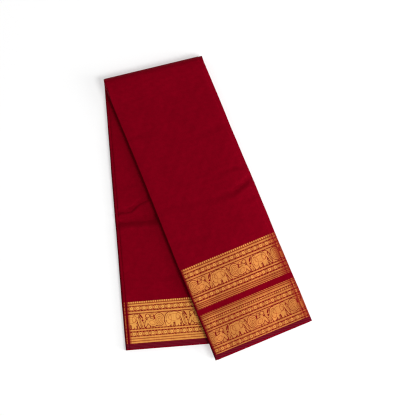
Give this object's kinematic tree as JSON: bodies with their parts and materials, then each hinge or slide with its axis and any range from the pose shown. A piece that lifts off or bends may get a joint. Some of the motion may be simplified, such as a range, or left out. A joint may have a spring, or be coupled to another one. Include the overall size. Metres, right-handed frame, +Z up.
{
  "type": "folded saree",
  "caption": "Flat folded strip of layered cloth, laid over itself in a narrow open V, with woven metallic borders across both ends.",
  "frame": {"origin": "middle of the whole in plan, on the surface that it lies on", "axes": "+X across the open V, +Y towards the crease at its closed end, +Z up"},
  "size_m": [0.4226, 0.6186, 0.0242],
  "materials": {
    "body_cloth": "plain silk-cotton weave, soft sheen",
    "zari_border": "figured metallic-thread weave, satin",
    "selvedge": "ribbed, matt"
  },
  "bodies": {
    "root": {"top_panel": "body_cloth", "top_selvedge": "selvedge", "top_border_outer": "zari_border", "top_band": "body_cloth", "top_border_inner": "zari_border", "turn_panel": "body_cloth", "back_panel": "body_cloth", "back_selvedge": "selvedge", "back_border": "zari_border", "layers_top": "body_cloth", "layers_turn": "body_cloth", "layers_back": "body_cloth"}
  },
  "joints": []
}
